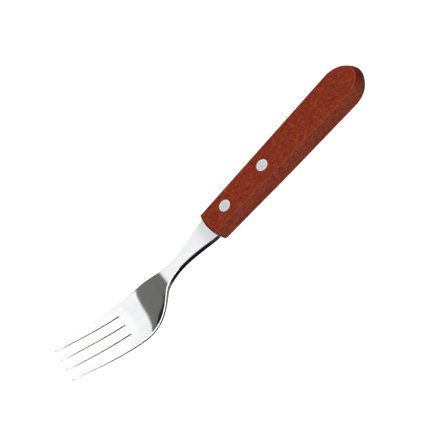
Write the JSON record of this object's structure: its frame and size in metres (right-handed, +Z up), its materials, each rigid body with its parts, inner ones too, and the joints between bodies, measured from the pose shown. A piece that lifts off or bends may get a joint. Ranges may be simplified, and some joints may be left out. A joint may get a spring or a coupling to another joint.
{
  "type": "table fork",
  "caption": "Stainless steel fork with a waisted neck and a riveted reddish hardwood handle.",
  "frame": {"origin": "middle of the footprint, at the level of the handle's flat underside", "axes": "+Y along the handle towards the butt, tines towards -Y, +X across the fork, +Z up out of the bowl"},
  "size_m": [0.0284, 0.2034, 0.0195],
  "materials": {
    "polished_steel": "bright polished stainless steel with a fine brushed grain",
    "handle_wood": "reddish brown stained hardwood, fine grained, satin",
    "rivet_metal": "satin, sanded flush"
  },
  "bodies": {
    "root": {"fork_blank": "polished_steel", "handle": "handle_wood", "front_rivet_pin": "rivet_metal", "front_rivet_tube": "rivet_metal", "rear_rivet_pin": "rivet_metal", "rear_rivet_tube": "rivet_metal"}
  },
  "joints": []
}
